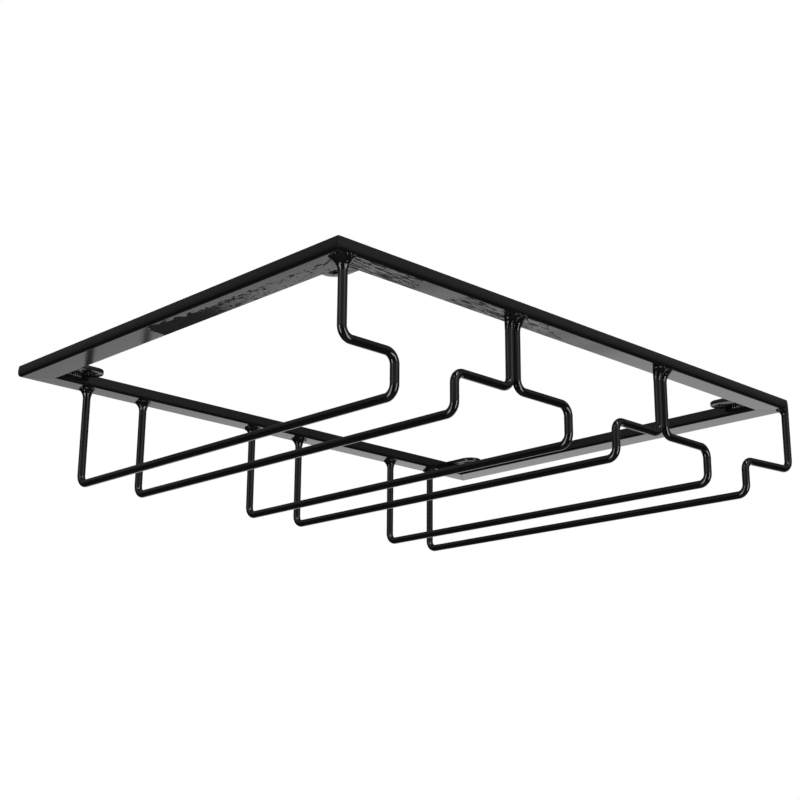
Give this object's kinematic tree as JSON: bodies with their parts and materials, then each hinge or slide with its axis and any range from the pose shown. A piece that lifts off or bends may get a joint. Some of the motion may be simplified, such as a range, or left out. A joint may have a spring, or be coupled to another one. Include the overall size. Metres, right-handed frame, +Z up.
{
  "type": "hanging wine glass rack",
  "caption": "Black welded steel rack that hangs stemware by the foot under a shelf: a flat-bar frame with bent wires in pairs and screw tabs in its corners.",
  "frame": {"origin": "centre of the frame's outline, in the top plane that meets the shelf", "axes": "+Z up towards the shelf, +X across the channels to the right, -Y to the open front where glasses slide in"},
  "size_m": [0.33, 0.245, 0.059],
  "materials": {
    "frame_paint": "gloss",
    "wire_paint": "gloss",
    "tab_paint": "gloss",
    "weld_paint": "gloss"
  },
  "bodies": {
    "root": {"front_bar": "frame_paint", "right_bar": "frame_paint", "back_bar": "frame_paint", "left_bar": "frame_paint", "rail_wire_1": "wire_paint", "rail_wire_2": "wire_paint", "rail_wire_3": "wire_paint", "rail_wire_4": "wire_paint", "rail_wire_5": "wire_paint", "rail_wire_6": "wire_paint", "front_left_tab": "tab_paint", "front_right_tab": "tab_paint", "back_right_tab": "tab_paint", "back_left_tab": "tab_paint", "front_left_tab_weld": "weld_paint", "front_left_corner_weld": "weld_paint", "front_right_tab_weld": "weld_paint", "front_right_corner_weld": "weld_paint", "back_right_tab_weld": "weld_paint", "back_right_corner_weld": "weld_paint", "back_left_tab_weld": "weld_paint", "back_left_corner_weld": "weld_paint", "back_leg_weld_1": "weld_paint", "back_leg_weld_2": "weld_paint", "back_leg_weld_3": "weld_paint", "back_leg_weld_4": "weld_paint", "back_leg_weld_5": "weld_paint", "back_leg_weld_6": "weld_paint", "corner_leg_weld_1": "weld_paint", "leg_pair_weld_1": "weld_paint", "corner_leg_weld_2": "weld_paint", "leg_pair_weld_2": "weld_paint"}
  },
  "joints": []
}
